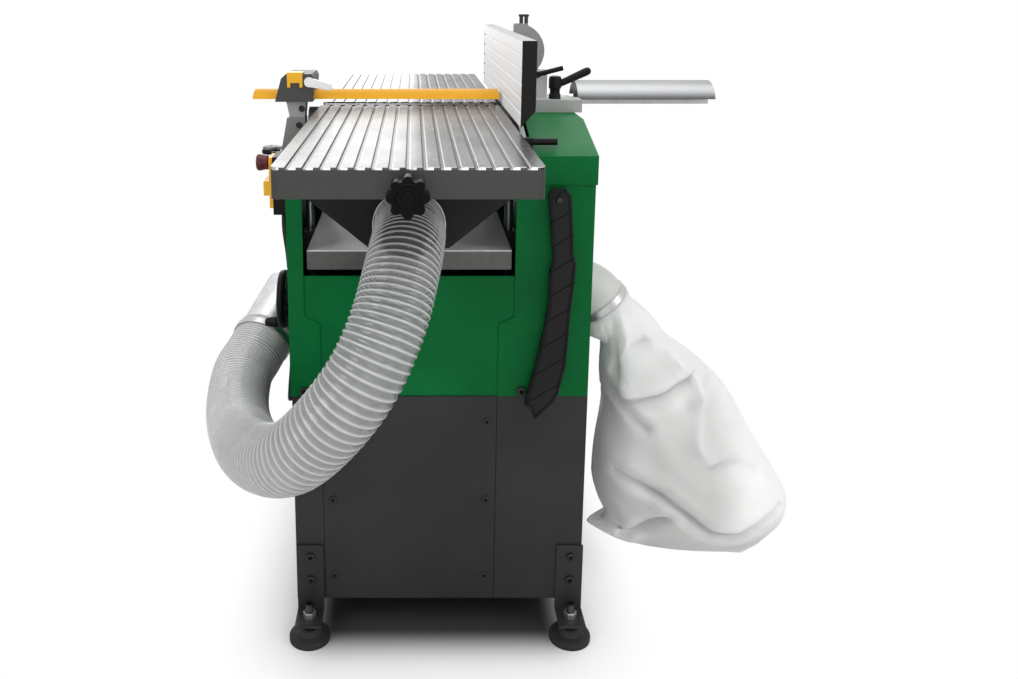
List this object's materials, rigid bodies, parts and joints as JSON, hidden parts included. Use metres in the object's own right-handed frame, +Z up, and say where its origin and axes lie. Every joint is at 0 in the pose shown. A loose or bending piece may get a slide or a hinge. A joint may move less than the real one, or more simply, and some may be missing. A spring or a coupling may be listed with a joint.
{
  "type": "combination planer thicknesser",
  "caption": "Woodworking planer thicknesser on a sheet metal stand: ribbed tables, tilting fence, bridge guard, lifting thickness bed, chip hood, ribbed hose and dust bag.",
  "frame": {"origin": "on the floor, in the middle of the footprint from table end to knob and from inlet duct to dust bag", "axes": "+Z up, +Y along the planing feed and the tables, +X to the drive and dust bag side"},
  "size_m": [1.044, 1.341, 1.012],
  "materials": {
    "green_paint": "textured powder coat",
    "dark_paint": "textured powder coat",
    "table_metal": "planed, ribbed",
    "cast_grey": "painted casting",
    "pale_casting": "die casting",
    "bright_aluminium": "anodised",
    "steel": "ground",
    "galvanised": "zinc coated sheet",
    "chrome_steel": "polished",
    "black_plastic": "moulded",
    "black_paint": "painted",
    "rubber": "moulded",
    "orange_plastic": "anodised look",
    "yellow_plastic": "moulded",
    "red_plastic": "moulded",
    "hose_plastic": "clear with wire ribs",
    "bag_cloth": "needle felt",
    "white_plastic": "moulded"
  },
  "bodies": {
    "machine": {"stand_left_panel": "dark_paint", "stand_right_panel": "dark_paint", "stand_end_panels": "dark_paint", "foot_brackets": "dark_paint", "foot_pads": "rubber", "foot_studs": "steel", "fasteners": "black_paint", "left_side_plate": "green_paint", "drive_side_plate": "green_paint", "drive_housing": "green_paint", "drive_cap": "green_paint", "body_end_panels": "green_paint", "frame_bars": "steel", "outfeed_table": "table_metal", "cutter_bearings": "cast_grey", "feed_gearbox": "cast_grey", "motor": "dark_paint", "drive_belt": "rubber", "fan_housing": "black_paint", "outlet_elbow": "white_plastic", "inlet_duct": "galvanised", "dust_bag": "bag_cloth", "band_clamps": "chrome_steel", "suction_hose": "hose_plastic", "chip_hood": "black_paint", "fence_base": "cast_grey", "guard_post": "pale_casting", "switch_box": "black_plastic", "switch_cable": "rubber"},
    "cutter": {"cutterblock": "steel", "knives": "chrome_steel", "cutter_pulley": "steel"},
    "motor_rotor": {"motor_pulley": "steel", "fan_impeller": "steel"},
    "feed_in": {"infeed_roller": "steel"},
    "feed_out": {"outfeed_roller": "steel"},
    "fingers": {"kickback_fingers": "steel"},
    "front_table": {"infeed_table": "table_metal"},
    "cut_knob": {"depth_knob": "black_plastic"},
    "table_lock": {"table_lock_lever": "black_plastic"},
    "bed": {"thickness_table": "cast_grey"},
    "screw": {"lift_screw": "steel"},
    "wheel": {"handwheel": "black_plastic"},
    "grip": {"crank_grip": "black_plastic"},
    "carriage": {"fence_carriage": "pale_casting", "rear_guard": "bright_aluminium"},
    "fence_plate": {"fence": "bright_aluminium", "fence_end_caps": "black_plastic", "fence_quadrant": "pale_casting"},
    "fence_lock": {"fence_lock_lever": "black_plastic"},
    "tilt_clamp": {"tilt_lever": "black_plastic"},
    "guard_mast": {"guard_riser": "pale_casting", "guard_head": "black_plastic"},
    "bridge": {"guard_arm": "orange_plastic"},
    "latch": {"guard_latch": "yellow_plastic"},
    "guard_clamp": {"guard_lever": "chrome_steel"},
    "height_knob": {"guard_knob": "black_plastic"},
    "flap": {"switch_flap": "yellow_plastic"},
    "stop_button": {"estop_button": "red_plastic"},
    "stick": {"push_stick": "black_plastic"}
  },
  "joints": [
    {"name": "cutter_spin", "type": "hinge", "parent": "machine", "child": "cutter", "pos_m": [-0.186, 0.0205, 0.813], "axis": [1, 0, 0], "continuous": true},
    {"name": "motor_spin", "type": "hinge", "parent": "machine", "child": "motor_rotor", "pos_m": [-0.186, 0.0805, 0.485], "axis": [1, 0, 0], "continuous": true},
    {"name": "feed_in_spin", "type": "hinge", "parent": "machine", "child": "feed_in", "pos_m": [-0.186, 0.0825, 0.793], "axis": [1, 0, 0], "continuous": true},
    {"name": "feed_out_spin", "type": "hinge", "parent": "machine", "child": "feed_out", "pos_m": [-0.186, -0.0415, 0.793], "axis": [1, 0, 0], "continuous": true},
    {"name": "finger_swing", "type": "hinge", "parent": "machine", "child": "fingers", "pos_m": [-0.186, 0.1145, 0.801], "axis": [1, 0, 0], "range_deg": [-15, 0]},
    {"name": "front_table_height", "type": "slide", "parent": "machine", "child": "front_table", "axis": [0, 0, 1], "range_m": [-0.003, 0]},
    {"name": "cut_knob_turn", "type": "hinge", "parent": "front_table", "child": "cut_knob", "pos_m": [-0.186, -0.6705, 0.821], "axis": [0, 1, 0], "range_deg": [-725, 5]},
    {"name": "table_lock_turn", "type": "hinge", "parent": "machine", "child": "table_lock", "pos_m": [-0.004, -0.2845, 0.815], "axis": [0, 0, 1], "range_deg": [-75, 0]},
    {"name": "bed_height", "type": "slide", "parent": "machine", "child": "bed", "axis": [0, 0, 1], "range_m": [-0.035, 0]},
    {"name": "screw_turn", "type": "hinge", "parent": "machine", "child": "screw", "pos_m": [-0.357, -0.1395, 0.6], "axis": [0, 0, 1], "range_deg": [-2530, 10]},
    {"name": "wheel_turn", "type": "hinge", "parent": "machine", "child": "wheel", "pos_m": [-0.398, -0.1395, 0.524], "axis": [1, 0, 0], "range_deg": [-2530, 10]},
    {"name": "grip_spin", "type": "hinge", "parent": "wheel", "child": "grip", "pos_m": [-0.426, -0.14521, 0.4834], "axis": [1, 0, 0], "continuous": true},
    {"name": "fence_slide", "type": "slide", "parent": "machine", "child": "carriage", "axis": [1, 0, 0], "range_m": [-0.15, 0]},
    {"name": "fence_tilt", "type": "hinge", "parent": "carriage", "child": "fence_plate", "pos_m": [0.01, 0.0205, 0.868], "axis": [0, 1, 0], "range_deg": [0, 45]},
    {"name": "fence_lock_turn", "type": "hinge", "parent": "machine", "child": "fence_lock", "pos_m": [0.07, -0.0615, 0.852], "axis": [0, 0, 1], "range_deg": [-45, 45]},
    {"name": "tilt_clamp_turn", "type": "hinge", "parent": "carriage", "child": "tilt_clamp", "pos_m": [0.04677, 0.0005, 0.90477], "axis": [0, 1, 0], "range_deg": [0, 35]},
    {"name": "guard_height", "type": "slide", "parent": "machine", "child": "guard_mast", "axis": [0, 0, 1], "range_m": [0, 0.075]},
    {"name": "bridge_slide", "type": "slide", "parent": "guard_mast", "child": "bridge", "axis": [1, 0, 0], "range_m": [-0.15, 0]},
    {"name": "latch_press", "type": "slide", "parent": "guard_mast", "child": "latch", "axis": [0, 0, 1], "range_m": [0, 0.006], "stiffness_N_per_m": 400},
    {"name": "guard_clamp_turn", "type": "hinge", "parent": "guard_mast", "child": "guard_clamp", "pos_m": [-0.366, -0.0305, 0.894], "axis": [0, 1, 0], "range_deg": [-60, 0]},
    {"name": "height_knob_turn", "type": "hinge", "parent": "machine", "child": "height_knob", "pos_m": [-0.4425, 0.0005, 0.764], "axis": [0, 0, 1], "range_deg": [-180, 180]},
    {"name": "flap_swing", "type": "hinge", "parent": "machine", "child": "flap", "pos_m": [-0.417, -0.1405, 0.74], "axis": [0, 0, 1], "range_deg": [-95, 0]},
    {"name": "stop_press", "type": "slide", "parent": "flap", "child": "stop_button", "axis": [1, 0, 0], "range_m": [0, 0.0025], "stiffness_N_per_m": 900},
    {"name": "stick_off", "type": "slide", "parent": "machine", "child": "stick", "axis": [0, -1, 0], "range_m": [0, 0.06]}
  ],
  "couplings": [
    {"joint": "motor_spin", "follows": "cutter_spin", "ratio": 0.49339},
    {"joint": "feed_out_spin", "follows": "feed_in_spin", "ratio": 1},
    {"joint": "screw_turn", "follows": "bed_height", "rad_per_m": 1256.6},
    {"joint": "wheel_turn", "follows": "bed_height", "rad_per_m": 1256.6},
    {"joint": "cut_knob_turn", "follows": "front_table_height", "rad_per_m": 4188.8},
    {"joint": "bridge_slide", "follows": "fence_slide", "ratio": 1}
  ]
}
